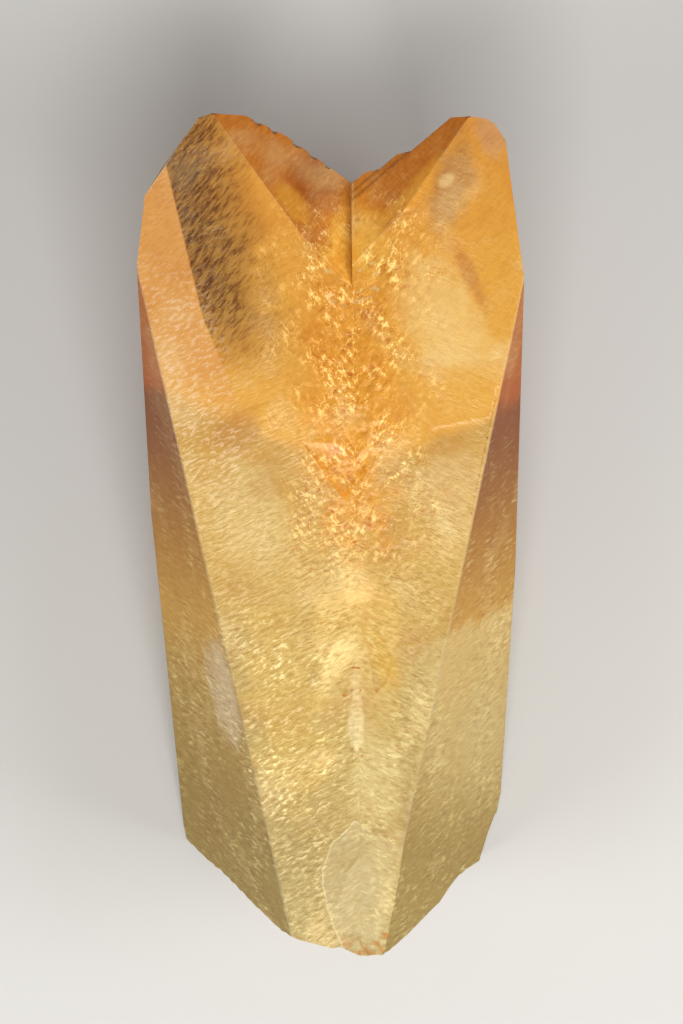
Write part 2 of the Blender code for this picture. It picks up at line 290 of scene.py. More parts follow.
for vert, move in moves:
    vert.co += move
print("vertices with relief:", len(moves), "of", len(skin.verts))

# %% [markdown]
# The skin becomes one object. It is shaded smooth, so that the hillocks look rounded, and every
# edge that bends more than a hillock does is marked sharp. The object takes the solid's place.

# %% Make the crystal piece
SHARP_ANGLE = math.radians(22.0)
for face in skin.faces:
    face.material_index = 0
    face.smooth = True
crystal_mesh = bpy.data.meshes.new("calcite_twin")
skin.to_mesh(crystal_mesh)
skin.free()
crystal_mesh.set_sharp_from_angle(angle=SHARP_ANGLE)
calcite_twin = bpy.data.objects.new("calcite_twin", crystal_mesh)
bpy.context.scene.collection.objects.link(calcite_twin)
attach(calcite_twin, "root")
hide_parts("crystal")
print("calcite twin:", len(crystal_mesh.polygons), "faces")

# %% [markdown]
# All that is seen inside the crystal is drawn by its material. Built by hand, so many nodes would
# be hard to follow. A few short helpers keep them readable: each adds one kind of node, feeds it
# and returns its output, so that outputs can be combined like numbers.

# %% Helpers for node materials


def make_material(name):
    """Return a new node material, its tree and its shader."""
    material = bpy.data.materials.new(name)
    material.use_nodes = True
    tree = material.node_tree
    return material, tree, tree.nodes["Principled BSDF"]


def node(tree, kind, **settings):
    """Add a node and set its properties."""
    made = tree.nodes.new("ShaderNode" + kind)
    for name, value in settings.items():
        setattr(made, name, value)
    return made


def feed(tree, target, value):
    """Give an input a number, a colour or another node's output."""
    if isinstance(value, bpy.types.NodeSocket):
        tree.links.new(value, target)
    else:
        target.default_value = value


def math_node(tree, operation, first, second=0.0, third=0.0):
    """Return the output of one Math node."""
    made = node(tree, "Math", operation=operation)
    for target, value in zip(made.inputs, (first, second, third)):
        feed(tree, target, value)
    return made.outputs[0]


def product(tree, first, *others):
    """Multiply two or more values."""
    for other in others:
        first = math_node(tree, "MULTIPLY", first, other)
    return first


def spread(tree, value, from_low, from_high, to_low=0.0, to_high=1.0):
    """Map one range of a value smoothly onto another."""
    made = node(tree, "MapRange", interpolation_type="SMOOTHSTEP")
    for name, given in (("Value", value), ("From Min", from_low), ("From Max", from_high),
                        ("To Min", to_low), ("To Max", to_high)):
        feed(tree, made.inputs[name], given)
    return made.outputs[0]


def noise_node(tree, vector, scale, detail=3.0, roughness=0.55):
    """Return a noise texture's value output."""
    made = node(tree, "TexNoise")
    feed(tree, made.inputs["Vector"], vector)
    for name, given in (("Scale", scale), ("Detail", detail), ("Roughness", roughness)):
        made.inputs[name].default_value = given
    return made.outputs[0]


def length_node(tree, vector):
    """Return the length of a vector."""
    made = node(tree, "VectorMath", operation="LENGTH")
    feed(tree, made.inputs[0], vector)
    return made.outputs["Value"]


def placed(tree, vector, centre, turn, size):
    """Return coordinates that are zero at a centre, turned and in units of the size given."""
    made = node(tree, "Mapping", vector_type="TEXTURE")
    feed(tree, made.inputs["Vector"], vector)
    made.inputs["Location"].default_value = centre
    made.inputs["Rotation"].default_value = (0.0, 0.0, math.radians(turn))
    made.inputs["Scale"].default_value = size
    return made.outputs[0]


def blend(tree, share, first, second, kind="MIX"):
    """Mix two colours."""
    made = node(tree, "Mix", data_type="RGBA", blend_type=kind)
    feed(tree, made.inputs[0], share)
    feed(tree, made.inputs[6], first)
    feed(tree, made.inputs[7], second)
    return made.outputs[2]


def srgb(red, green, blue):
    """Return a colour given in the 0 to 255 steps of a screen as the linear one a shader takes."""
    steps = [channel / 255.0 for channel in (red, green, blue)]
    return [s / 12.92 if s <= 0.04045 else ((s + 0.055) / 1.055) ** 2.4 for s in steps] + [1.0]


def ramp(tree, share, stops):
    """Return a colour ramp's output for a list of places and colours."""
    made = node(tree, "ValToRGB")
    elements = made.color_ramp.elements
    while len(elements) < len(stops):
        elements.new(0.5)
    for element, (place, colour) in zip(elements, stops):
        element.position = place
        element.color = colour
    feed(tree, made.inputs[0], share)
    return made.outputs[0]


print("node helpers ready")

# %% [markdown]
# Everything below depends on where a point lies. Object coordinates, moved to the foot of the notch
# and scaled, give the same millimetres as `crystal_mm`. Earlier, smaller outlines of the crystal
# are left inside it as V-shaped borders, so one more measure, `v_shape`, is the length less a share
# of the distance from the join, made a little uneven by noise. The way a face looks tells the
# front, the notch's two faces and the sides apart.

# %% Calcite: where a point lies
V_LEAN = 0.43
WOBBLE_SCALE = 0.15
WOBBLE_SIZE = 5.0
LOOKS_UP = (0.42, 0.6)
NEAR_FRONT = (-1.5, -0.8)
LOOKS_ALONG = (0.14, 0.26)
calcite, tree, shader = make_material("calcite")
coordinates = node(tree, "TexCoord")
moved = node(tree, "VectorMath", operation="SUBTRACT")
feed(tree, moved.inputs[0], coordinates.outputs["Object"])
moved.inputs[1].default_value = ORIGIN
scaled = node(tree, "VectorMath", operation="SCALE")
feed(tree, scaled.inputs[0], moved.outputs[0])
scaled.inputs["Scale"].default_value = 1.0 / MM
in_mm = scaled.outputs[0]
place_parts = node(tree, "SeparateXYZ")
feed(tree, place_parts.inputs[0], in_mm)
across, along, depth = place_parts.outputs
off_join = math_node(tree, "ABSOLUTE", across)
wobble = noise_node(tree, in_mm, WOBBLE_SCALE)
v_straight = math_node(tree, "MULTIPLY_ADD", off_join, -V_LEAN, along)
v_wobble = math_node(tree, "MULTIPLY_ADD", wobble, WOBBLE_SIZE, -WOBBLE_SIZE / 2)
v_shape = math_node(tree, "ADD", v_straight, v_wobble)
facing = node(tree, "SeparateXYZ")
feed(tree, facing.inputs[0], coordinates.outputs["Normal"])
_, facing_along, facing_up = facing.outputs
on_front = math_node(
    tree, "MAXIMUM", spread(tree, facing_up, *LOOKS_UP), spread(tree, depth, *NEAR_FRONT))
on_notch = product(tree, on_front, spread(tree, facing_along, *LOOKS_ALONG))
on_side = math_node(tree, "SUBTRACT", 1.0, on_front)
print("coordinates ready, V leans", V_LEAN, "mm per mm off the join")

# %% [markdown]
# The colour follows the length: deep amber at the notch, gold in the middle, pale honey at the
# broken end. A colour ramp on `v_shape` needs no image and looks right from every side. The front
# and the steep sides get different colours at the same level, so each has its own ramp: the sides'
# ramp is darker and redder, partly the deeper colour of more crystal seen through, partly painted
# shade of the steep faces. The jump near -52 is the upper phantom border. The notch faces are
# painted darker and redder than the front beside them, which is painted shade.

# %% Calcite: colour along the length
COLOUR_SPAN = (-145.0, 15.0)
FRONT_COLOURS = [
    (-140.0, srgb(170, 150, 94)),
    (-116.0, srgb(170, 144, 82)),
    (-100.0, srgb(178, 150, 82)),
    (-90.0, srgb(190, 158, 88)),
    (-84.0, srgb(198, 162, 84)),
    (-68.0, srgb(210, 168, 84)),
    (-53.0, srgb(212, 164, 80)),
    (-50.5, srgb(240, 178, 74)),
    (-26.0, srgb(246, 180, 70)),
    (12.0, srgb(234, 156, 58)),
]
# darker and redder than the front ramp: deeper colour through more crystal, and painted shade of the
# steep sides
SIDE_TONES_AND_SHADE = [
    (-140.0, srgb(150, 126, 62)),
    (-121.0, srgb(152, 124, 58)),
    (-104.0, srgb(170, 136, 64)),
    (-89.0, srgb(192, 146, 60)),
    (-75.0, srgb(168, 114, 30)),
    (-60.0, srgb(138, 78, 14)),
    (-53.0, srgb(132, 68, 6)),
    (-50.5, srgb(174, 84, 4)),
    (-38.0, srgb(184, 102, 8)),
    (12.0, srgb(198, 120, 18)),
]
# painted shade: the notch faces are made darker and redder because of the way they face
NOTCH_SHADE_COLOUR = srgb(206, 118, 36)
NOTCH_SHADE_STRENGTH = 0.85
span = COLOUR_SPAN[1] - COLOUR_SPAN[0]
above_low_end = math_node(tree, "SUBTRACT", v_shape, COLOUR_SPAN[0])
length_share = math_node(tree, "DIVIDE", above_low_end, span)
front_colour, side_tone_and_shade = (
    ramp(tree, length_share, [((at - COLOUR_SPAN[0]) / span, colour) for at, colour in stops])
    for stops in (FRONT_COLOURS, SIDE_TONES_AND_SHADE))
colour = blend(tree, on_front, side_tone_and_shade, front_colour)
colour = blend(tree, product(tree, on_notch, NOTCH_SHADE_STRENGTH), colour, NOTCH_SHADE_COLOUR)
print("colour ramps over", span, "mm")

# %% [markdown]
# On top of that come patches that belong to one place: pale and grey spots in the right tip, the
# yellow and the reddish part of the left notch face, the gold along the join, milky spots low down.
# Four are painted light instead: a painted glow in the right half and one on the join, painted
# light over the shaded apex of the notch, and a painted glint on the left side face. Each is a soft
# ellipse on the front or on the sides, given by centre, half sizes and turn. Noise makes its border
# uneven, since a true ellipse would look painted on.

# %% Calcite: coloured patches and painted light
PATCHES = [
    # name, centre, half sizes, turn, colour, strength
    ("notch_red", (-5.6, 0.6), (6.4, 6.4), 20.0, srgb(166, 82, 26), 0.70),
    ("notch_yellow", (-10.4, -3.8), (5.4, 2.2), -48.0, srgb(244, 174, 56), 0.62),
    ("notch_band", (10.7, -1.9), (1.9, 11.5), -44.0, srgb(248, 174, 58), 0.72),
    ("right_grey", (18.0, -1.0), (4.2, 10.0), -15.0, srgb(176, 122, 70), 0.62),
    ("right_pale", (16.9, 0.2), (1.7, 1.2), 35.0, srgb(255, 222, 150), 0.60),
    ("right_tip", (24.6, 8.0), (3.0, 5.0), 25.0, srgb(222, 170, 122), 0.60),
    # painted glow: a bright patch standing in for light glowing through the crystal
    ("right_painted_glow", (15.5, -23.0), (8.0, 13.0), 35.0, srgb(255, 212, 126), 0.85),
    ("right_rust", (20.8, -17.0), (1.7, 9.0), 24.6, srgb(204, 130, 62), 0.55),
    # painted light: brightens the shaded apex where the notch's crease meets the front
    ("apex", (0.0, -13.5), (6.5, 8.5), 0.0, srgb(255, 204, 92), 0.95),
    ("join_gold", (-0.5, -36.0), (9.5, 34.0), 0.0, srgb(244, 164, 44), 0.70),
    ("funnel", (-2.4, -49.5), (4.0, 7.0), 6.0, srgb(234, 158, 52), 0.70),
    ("left_cream", (-18.8, -59.0), (7.4, 13.0), 12.0, srgb(222, 194, 122), 0.55),
    ("left_dusk", (-21.5, -44.0), (5.5, 5.0), 0.0, srgb(196, 138, 70), 0.45),
    ("right_cream", (17.5, -56.0), (7.0, 9.0), -10.0, srgb(228, 192, 126), 0.45),
    ("lower_gold", (-13.0, -94.0), (8.0, 21.0), 8.0, srgb(214, 176, 80), 0.45),
    # painted glow in the middle of the join
    ("join_painted_glow", (-0.6, -71.5), (4.0, 4.5), 0.0, srgb(255, 214, 132), 0.60),
    ("tent_left", (-3.6, -85.0), (2.4, 7.0), -28.0, srgb(244, 216, 142), 0.50),
    ("kite", (4.8, -86.0), (2.6, 5.4), 16.0, srgb(196, 154, 60), 0.75),
    ("milk", (3.0, -106.0), (6.0, 10.0), 0.0, srgb(206, 186, 128), 0.45),
    ("ladder", (-0.4, -95.0), (1.4, 10.0), 0.0, srgb(248, 232, 184), 0.30),
]
SIDE_PATCHES = [
    # painted glint: a whitish highlight on the left side face
    ("left_painted_glint", (-23.6, -91.0), (3.2, 11.0), 13.0, srgb(212, 194, 166), 0.50),
    ("left_umber", (-27.0, -113.0), (4.0, 8.0), 10.0, srgb(150, 116, 56), 0.50),
    ("right_milk", (23.5, -100.0), (6.0, 15.0), -8.0, srgb(178, 152, 96), 0.55),
]
PATCH_HALF_DEPTH = 60.0
PATCH_RAGGED = 1.5
PATCH_BORDER = (1.15, 0.45)
uneven = math_node(tree, "MULTIPLY_ADD", wobble, PATCH_RAGGED, -PATCH_RAGGED / 2)
for faces, patches in ((on_front, PATCHES), (on_side, SIDE_PATCHES)):
    for name, centre, size, turn, patch_colour, strength in patches:
        there = placed(tree, in_mm, (*centre, 0.0), turn, (*size, PATCH_HALF_DEPTH))
        reach = math_node(tree, "ADD", length_node(tree, there), uneven)
        share = product(tree, spread(tree, reach, *PATCH_BORDER, 0.0, strength), faces)
        colour = blend(tree, share, colour, patch_colour)
        print("patch", name, "at", centre)

# %% [markdown]
# The upper left of the front is a window: it is clear, and painted shade darkens it, standing in for
# the dark seen through it. A straight border, the edge of a face behind, cuts it off from a strip
# along the crystal's side that is painted paler, painted light reflected inside from that face. The
# painted shade is darkest right at that border and clears away from it, so the distance from the
# border drives it.

# %% Calcite: the window's painted shade and the paler strip
WINDOW_BORDER = [((-33.0, 3.4), (-26.8, -23.7)), ((-26.8, -23.7), (-21.3, -37.6))]
BORDER_BLUR = 0.25
WINDOW_REACH = (17.0, 3.0)
WINDOW_RAGGED = 7.0
WINDOW_FOOT = (-38.0, -16.0)
WINDOW_SHADE_STRENGTH = 0.68
STRIP_FOOT = (-44.0, -30.0)
STRIP_LIGHT_STRENGTH = 0.50


def distance_right(tree, start, end):
    """Return the distance in millimetres to the right of a line seen from the front."""
    run = Vector(end) - Vector(start)
    normal = Vector((-run.y, run.x)).normalized()
    made = node(tree, "VectorMath", operation="DOT_PRODUCT")
    feed(tree, made.inputs[0], in_mm)
    made.inputs[1].default_value = (*normal, 0.0)
    return math_node(tree, "SUBTRACT", made.outputs["Value"], normal.dot(Vector(start)))


upper_part, lower_part = (distance_right(tree, *line) for line in WINDOW_BORDER)
past_border = math_node(tree, "MINIMUM", upper_part, lower_part)
beyond = spread(tree, past_border, -BORDER_BLUR, BORDER_BLUR)
ragged_distance = math_node(tree, "MULTIPLY_ADD", uneven, WINDOW_RAGGED, past_border)
off_notch = math_node(tree, "SUBTRACT", on_front, on_notch)
window = product(
    tree, spread(tree, ragged_distance, *WINDOW_REACH), beyond,
    spread(tree, along, *WINDOW_FOOT), off_notch)
# painted shade: the window is darkened as if dark were seen through the clear crystal
colour = blend(tree, product(tree, window, WINDOW_SHADE_STRENGTH), colour, srgb(158, 110, 58))
# painted light: the strip beyond the border is painted paler
short_of_border = math_node(tree, "SUBTRACT", 1.0, beyond)
strip = product(
    tree, short_of_border, spread(tree, along, *STRIP_FOOT, 0.0, STRIP_LIGHT_STRENGTH), on_front)
colour = blend(tree, strip, colour, srgb(232, 166, 108))
print("window border from", WINDOW_BORDER[0][0], "to", WINDOW_BORDER[1][1])

# %% [markdown]
# On the right, below the lower phantom border, the crystal turns from gold to a greyish green. The
# border is the same V as the upper one, further down, but only this side of it is easy to see.

# %% Calcite: the lower phantom
PHANTOM_BORDER = (-86.5, -88.5)
PHANTOM_SIDE = (7.0, 15.0)
PHANTOM_FOOT = (-122.0, -98.0)
PHANTOM_STRENGTH = 0.5
below_phantom = product(
    tree, spread(tree, v_shape, *PHANTOM_BORDER), spread(tree, across, *PHANTOM_SIDE),
    spread(tree, along, *PHANTOM_FOOT, 0.0, PHANTOM_STRENGTH))
colour = blend(tree, below_phantom, colour, srgb(206, 184, 122))
print("lower phantom border at", PHANTOM_BORDER[0], "mm")

# %% [markdown]
# A thick flake has come off the lower tip. Inside its curved edge the surface is fresh, smooth and
# pale, with a thin bright line where the light catches the edge. The edge is a chain of straight
# lines: a point is inside when it is right of all of them, so the smallest distance decides.

# %% Calcite: the flake scar
SCAR_EDGE = [
    (9.0, -119.5), (-0.9, -113.6), (-4.8, -117.6), (-6.8, -122.2), (-6.2, -128.4), (-3.8, -135.6),
]
SCAR_RAGGED = 1.6
SCAR_BLUR = (-0.2, 0.3)
SCAR_RIGHT_END = (9.5, 1.0)
SCAR_STRENGTH = 0.62
SCAR_LINE_WIDTH = 0.30
SCAR_LINE_END = (0.8, -0.8)
SCAR_LINE_STRENGTH = 0.25
inside = None
for start, end in zip(SCAR_EDGE, SCAR_EDGE[1:]):
    distance = distance_right(tree, start, end)
    inside = distance if inside is None else math_node(tree, "MINIMUM", inside, distance)
inside = math_node(tree, "SUBTRACT", inside, SCAR_RAGGED / 2)
inside = math_node(tree, "MULTIPLY_ADD", wobble, SCAR_RAGGED, inside)
scar = product(
    tree, spread(tree, inside, *SCAR_BLUR), spread(tree, across, *SCAR_RIGHT_END), on_front)
off_scar_edge = math_node(tree, "ABSOLUTE", inside)
scar_line = product(
    tree, spread(tree, off_scar_edge, SCAR_LINE_WIDTH, 0.0, 0.0, SCAR_LINE_STRENGTH),
    spread(tree, across, *SCAR_LINE_END))
colour = blend(tree, product(tree, scar, SCAR_STRENGTH), colour, srgb(170, 152, 104))
colour = blend(tree, scar_line, colour, srgb(250, 238, 196))
print("flake scar edge has", len(SCAR_EDGE), "points")

# %% [markdown]
# Where the two crystals meet, growth left a sheaf of healed cracks. They catch the light as a
# crumpled net of whitish-gold flakes and lines that fans out and down from the join. The pattern is
# read from the distance off the join, so it mirrors, but each side gets its own depth in the noise:
# the two crystals are alike, not copies. A noise is near its middle value along thin curves, so
# keeping only those values draws the lines.

# %% Calcite: feathers along the join
OTHER_SIDE = 61.0
FEATHER_TURN = -34.0
FEATHER_SIZE = (0.60, 1.15, 0.8)
FEATHER_WIDTH = (-7.0, 8.0)
FEATHER_RAGGED = 22.0
FEATHER_FOOT = (-80.0, -56.0)
FEATHER_TOP = (2.0, -8.0)
CRACK_WIDTH = 0.015
CRACK_STRENGTH = 0.9
HOLLOW_STRENGTH = 0.85


def net(tree, vector, scale, width):
    """Return thin curved lines, 1 on a line and 0 away from it."""
    value = noise_node(tree, vector, scale)
    off_line = math_node(tree, "ABSOLUTE", math_node(tree, "SUBTRACT", value, 0.5))
    return spread(tree, off_line, 0.0, width, 1.0, 0.0)


right_of_join = math_node(tree, "GREATER_THAN", across)
shifted_depth = math_node(tree, "MULTIPLY_ADD", right_of_join, OTHER_SIDE, depth)
mirrored_place = node(tree, "CombineXYZ")
for target, value in zip(mirrored_place.inputs, (off_join, along, shifted_depth)):
    feed(tree, target, value)
fan_place = placed(tree, mirrored_place.outputs[0], (0.0, 0.0, 0.0), FEATHER_TURN, FEATHER_SIZE)
ragged_off_join = math_node(tree, "MULTIPLY_ADD", wobble, -FEATHER_RAGGED, off_join)
bunched = spread(tree, noise_node(tree, in_mm, 0.17, 1.0), 0.38, 0.62, 0.25, 1.0)
feather_zone = product(
    tree, spread(tree, ragged_off_join, *FEATHER_WIDTH, 1.0, 0.0),
    spread(tree, along, *FEATHER_FOOT), on_front, spread(tree, along, *FEATHER_TOP), bunched)
flakes = noise_node(tree, fan_place, 0.62, 4.0, 0.72)
cracks = product(tree, net(tree, fan_place, 0.28, CRACK_WIDTH), CRACK_STRENGTH)
bright_flakes = math_node(tree, "MAXIMUM", spread(tree, flakes, 0.55, 0.61), cracks)
feathers = product(tree, bright_flakes, feather_zone)
hollows = product(tree, spread(tree, flakes, 0.48, 0.36, 0.0, HOLLOW_STRENGTH), feather_zone)
colour = blend(tree, hollows, colour, srgb(204, 112, 24))
print("feathers reach", FEATHER_WIDTH[1], "mm from the join before they are made ragged")

# %% [markdown]
# Golden and rusty flecks are drawn out down and to the left, close together in the window and
# sparse over the rest of the upper part. One stretched noise gives both: its high values are the
# golden flecks, its low values the rusty ones. The feathers are laid over them, so that no fleck
# darkens a bright crack.

# %% Calcite: flecks and streaks
STREAK_TURN = -40.0
STREAK_SIZE = (0.55, 2.6, 2.0)
UPPER_PART = (-56.0, -30.0)
WINDOW_FLECKS = 0.70
GOLDEN_FLECKS = 0.15
RUSTY_FLECKS = 0.10
FEATHER_STRENGTH = 0.62
streak_place = placed(tree, in_mm, (0.0, 0.0, 0.0), STREAK_TURN, STREAK_SIZE)
streaks = noise_node(tree, streak_place, 1.0, 3.0, 0.7)
upper = spread(tree, v_shape, *UPPER_PART)
golden_share, rusty_share = (
    math_node(tree, "MULTIPLY_ADD", window, WINDOW_FLECKS, product(tree, upper, elsewhere))
    for elsewhere in (GOLDEN_FLECKS, RUSTY_FLECKS))
golden = product(tree, spread(tree, streaks, 0.52, 0.575), golden_share)
rusty = product(tree, spread(tree, streaks, 0.48, 0.41), rusty_share)
colour = blend(tree, golden, colour, srgb(244, 182, 84))
colour = blend(tree, rusty, colour, srgb(146, 98, 58), "MULTIPLY")
colour = blend(tree, product(tree, feathers, FEATHER_STRENGTH), colour, srgb(255, 222, 148))
print("flecks", STREAK_SIZE[1], "mm long, feathers", FEATHER_STRENGTH, "strong")

# %% [markdown]
# No part of the crystal is evenly coloured, so broad paler and darker clouds go over it all, fainter
# on the sides. The join itself shows as a thin pale line below the notch, partly painted light that
# lifts the shade in the notch's crease.

# %% Calcite: clouds and the join line
CLOUD_SCALE = 0.08
CLOUD_STRENGTH = 0.12
CLOUD_MORE_ON_FRONT = 0.16
JOIN_LINE_WIDTH = (0.5, 0.1)
JOIN_LINE_FOOT = (-13.0, -9.0)
JOIN_LINE_STRENGTH = 0.5
cloud = noise_node(tree, in_mm, CLOUD_SCALE, 2.0, 0.5)
cloud_share = math_node(tree, "MULTIPLY_ADD", on_front, CLOUD_MORE_ON_FRONT, CLOUD_STRENGTH)
pale_cloud = product(tree, spread(tree, cloud, 0.50, 0.72), cloud_share)
dark_cloud = product(tree, spread(tree, cloud, 0.50, 0.28), cloud_share)
colour = blend(tree, pale_cloud, colour, srgb(255, 224, 156))
colour = blend(tree, dark_cloud, colour, srgb(214, 160, 92), "MULTIPLY")
# partly the pale join itself, partly painted light over the shaded crease of the notch
join_line = product(
    tree, spread(tree, off_join, *JOIN_LINE_WIDTH), spread(tree, along, *JOIN_LINE_FOOT),
    JOIN_LINE_STRENGTH)
colour = blend(tree, join_line, colour, srgb(250, 206, 130))
print("join line down to", JOIN_LINE_FOOT[0], "mm")

# %% [markdown]
# The two upper edges of the notch are worn to a narrow bevel, and a painted highlight lies on it
# as a bright line. The bevel turns from the front's direction to the notch face's, so the places
# that face part of the way between can be picked out and painted pale.

# %% Calcite: painted highlights on the notch's edges
TURNED_ENOUGH = (0.06, 0.12)
TURNED_TOO_FAR = (0.28, 0.20)
NOTCH_EDGE_FOOT = (-26.0, -16.0)
NOTCH_EDGE_HIGHLIGHT_STRENGTH = 0.65
notch_edge_highlight = product(
    tree, spread(tree, facing_along, *TURNED_ENOUGH), spread(tree, facing_along, *TURNED_TOO_FAR),
    spread(tree, along, *NOTCH_EDGE_FOOT), on_front, NOTCH_EDGE_HIGHLIGHT_STRENGTH)
colour = blend(tree, notch_edge_highlight, colour, srgb(255, 228, 168))
print("edges of the notch painted down to", NOTCH_EDGE_FOOT[0], "mm")

# %% [markdown]
# The upper part lets light through. The lower part is milky with tiny fluid bubbles, so less light
# is sent through it. The window is clearest, and the healed cracks hide what is behind them. The
# tent-shaped crest with its ladder of rungs, the crease of the notch and the broken end are made of
# small steps, in which light that goes through would be caught and look red, so they are milky too.

# %% Calcite: how clear it is
CLEAR_LENGTH = (-115.0, -15.0)
CLEAR_SHARE = (0.12, 0.42)
NOTCH_LESS = -0.12
WINDOW_MORE = 0.30
SIDE_CLEAR_LENGTH = (-95.0, -45.0)
SIDE_CLEAR_SHARE = (0.50, 0.75)
CREST_WIDTH = (9.0, 6.0)
CREST_TOP = (-70.0, -76.0)
CREST_CLEAR = 0.3
BROKEN_END = (-132.0, -122.0)
BROKEN_CLEAR = 0.2
CREASE_WIDTH = (9.0, 0.0)
CREASE_CLEAR = 0.2
FEATHERS_LESS = -0.45
clear = spread(tree, v_shape, *CLEAR_LENGTH, *CLEAR_SHARE)
clear = math_node(tree, "MULTIPLY_ADD", on_notch, NOTCH_LESS, clear)
clear = math_node(tree, "MULTIPLY_ADD", window, WINDOW_MORE, clear)
side_clear = spread(tree, v_shape, *SIDE_CLEAR_LENGTH, *SIDE_CLEAR_SHARE)
crest = product(tree, spread(tree, off_join, *CREST_WIDTH), spread(tree, along, *CREST_TOP))
crease = product(tree, spread(tree, off_join, *CREASE_WIDTH), on_notch)
clear = product(
    tree, clear, math_node(tree, "MAXIMUM", on_front, side_clear),
    spread(tree, crest, 0.0, 1.0, 1.0, CREST_CLEAR),
    spread(tree, along, *BROKEN_END, BROKEN_CLEAR, 1.0),
    spread(tree, crease, 0.0, 1.0, 1.0, CREASE_CLEAR))
clear = math_node(tree, "MULTIPLY_ADD", feathers, FEATHERS_LESS, clear)
feed(tree, shader.inputs["Transmission Weight"], clear)
print("light sent through, lowest and highest on the plain front:", CLEAR_SHARE)

# %% [markdown]
# Calcite bends light by 1.49 to 1.66, depending on how the light swings. One value between them
# stands for both. The etched surface isn't a mirror: it gets rougher toward the broken end, and the
# sides are rougher than the front, so that they don't show the floor like glass.

# %% Calcite: shine
ROUGH_LENGTH = (-120.0, -20.0)
ROUGH_RANGE = (0.32, 0.22)
SIDE_ROUGHER = 0.30
CALCITE_IOR = 1.6
REFLECTION_LEVEL = 0.22
rough_front = spread(tree, v_shape, *ROUGH_LENGTH, *ROUGH_RANGE)
rough_side = spread(tree, on_front, 0.0, 1.0, SIDE_ROUGHER, 0.0)
feed(tree, shader.inputs["Roughness"], math_node(tree, "ADD", rough_front, rough_side))
shader.inputs["IOR"].default_value = CALCITE_IOR
shader.inputs["Specular IOR Level"].default_value = REFLECTION_LEVEL
print("index of refraction", round(shader.inputs["IOR"].default_value, 2))

# %% [markdown]
# The smallest relief is too fine for the mesh: ripples a millimetre or two long that rise toward
# the join, deep on the lower half and faint near the notch. One stretched noise gives their height
# for the bump. On the steep sides they run the other way, so a share of the depth is added to the
# length before that. They are uneven, like the clouds, and shallower in the fresh scar.

# %% Calcite: ripples
RIPPLE_DEPTH = 0.42 * MM
RIPPLE_SHEAR = 0.38
RIPPLE_TURN = -28.0
RIPPLE_SIZE = (1.35, 0.60, 4.0)
RIPPLE_LENGTH_RANGE = (-85.0, -25.0)
RIPPLE_NEAR_NOTCH = 0.30
RIPPLE_IN_SCAR = 0.6
sheared_place = node(tree, "CombineXYZ")
sheared_along = math_node(tree, "MULTIPLY_ADD", depth, RIPPLE_SHEAR, along)
for target, value in zip(sheared_place.inputs, (off_join, sheared_along, shifted_depth)):
    feed(tree, target, value)
ripple_place = placed(tree, sheared_place.outputs[0], (0.0, 0.0, 0.0), RIPPLE_TURN, RIPPLE_SIZE)
ripples = noise_node(tree, ripple_place, 0.9, 4.0, 0.65)
ripple_share = product(
    tree, spread(tree, along, *RIPPLE_LENGTH_RANGE, 1.0, RIPPLE_NEAR_NOTCH),
    spread(tree, cloud, 0.40, 0.60, 0.5, 1.0),
    spread(tree, scar, 0.0, 1.0, 1.0, RIPPLE_IN_SCAR))
bump = node(tree, "Bump")
bump.inputs["Distance"].default_value = RIPPLE_DEPTH
feed(tree, bump.inputs["Strength"], ripple_share)
feed(tree, bump.inputs["Height"], ripples)
feed(tree, shader.inputs["Normal"], bump.outputs[0])
print("ripples", round(1000 * RIPPLE_DEPTH, 2), "mm deep")

# %% [markdown]
# The same noise colours the ripples: painted shade darkens their troughs, and golden painted
# highlights sit on their crests, most of all on the lower left, which shines like foil. Rosy painted
# highlights follow the left rim, where the side face shows through.

# %% Calcite: painted shade and highlights on the ripples
TROUGH_SHADE_STRENGTH = 0.50
FOIL_CENTRE = (-13.0, -97.0, 0.0)
FOIL_TURN = 10.0
FOIL_SIZE = (12.0, 26.0, 60.0)
FOIL_BORDER = (1.2, 0.3)
FOIL_RANGE = (0.40, 1.0)
CREST_HIGHLIGHT_STRENGTH = 0.80
RIM_SLOPE = 0.22
RIM_BORDER = (-25.0, -33.5)
RIM_TOP = (-8.0, -22.0)
RIM_FOOT = (-72.0, -40.0)
RIM_AT_FOOT = 0.2
RIM_HIGHLIGHT_STRENGTH = 0.48
# painted shade in the ripples' troughs
trough_shade = product(tree, spread(tree, ripples, 0.52, 0.32), ripple_share, TROUGH_SHADE_STRENGTH)
colour = blend(tree, trough_shade, colour, srgb(196, 150, 84), "MULTIPLY")
foil_place = placed(tree, in_mm, FOIL_CENTRE, FOIL_TURN, FOIL_SIZE)
foil_reach = math_node(tree, "ADD", length_node(tree, foil_place), uneven)
foil_share = spread(tree, foil_reach, *FOIL_BORDER, *FOIL_RANGE)
# painted highlights: golden glints on the ripples' crests
crest_highlights = product(
    tree, spread(tree, ripples, 0.53, 0.61), ripple_share, product(tree, foil_share, bunched),
    CREST_HIGHLIGHT_STRENGTH)
colour = blend(tree, crest_highlights, colour, srgb(255, 238, 168))
across_rim = math_node(tree, "MULTIPLY_ADD", along, RIM_SLOPE, across)
left_rim = product(
    tree, spread(tree, across_rim, *RIM_BORDER), spread(tree, along, *RIM_TOP), on_front,
    spread(tree, along, *RIM_FOOT, RIM_AT_FOOT, 1.0))
# painted highlights: rosy glints along the left rim
rim_highlights = product(tree, spread(tree, ripples, 0.52, 0.60), left_rim, RIM_HIGHLIGHT_STRENGTH)
colour = blend(tree, rim_highlights, colour, srgb(255, 216, 172))
feed(tree, shader.inputs["Base Color"], colour)
calcite_twin.data.materials.append(calcite)
print("glints on the ripples, foil around", FOIL_CENTRE[:2])

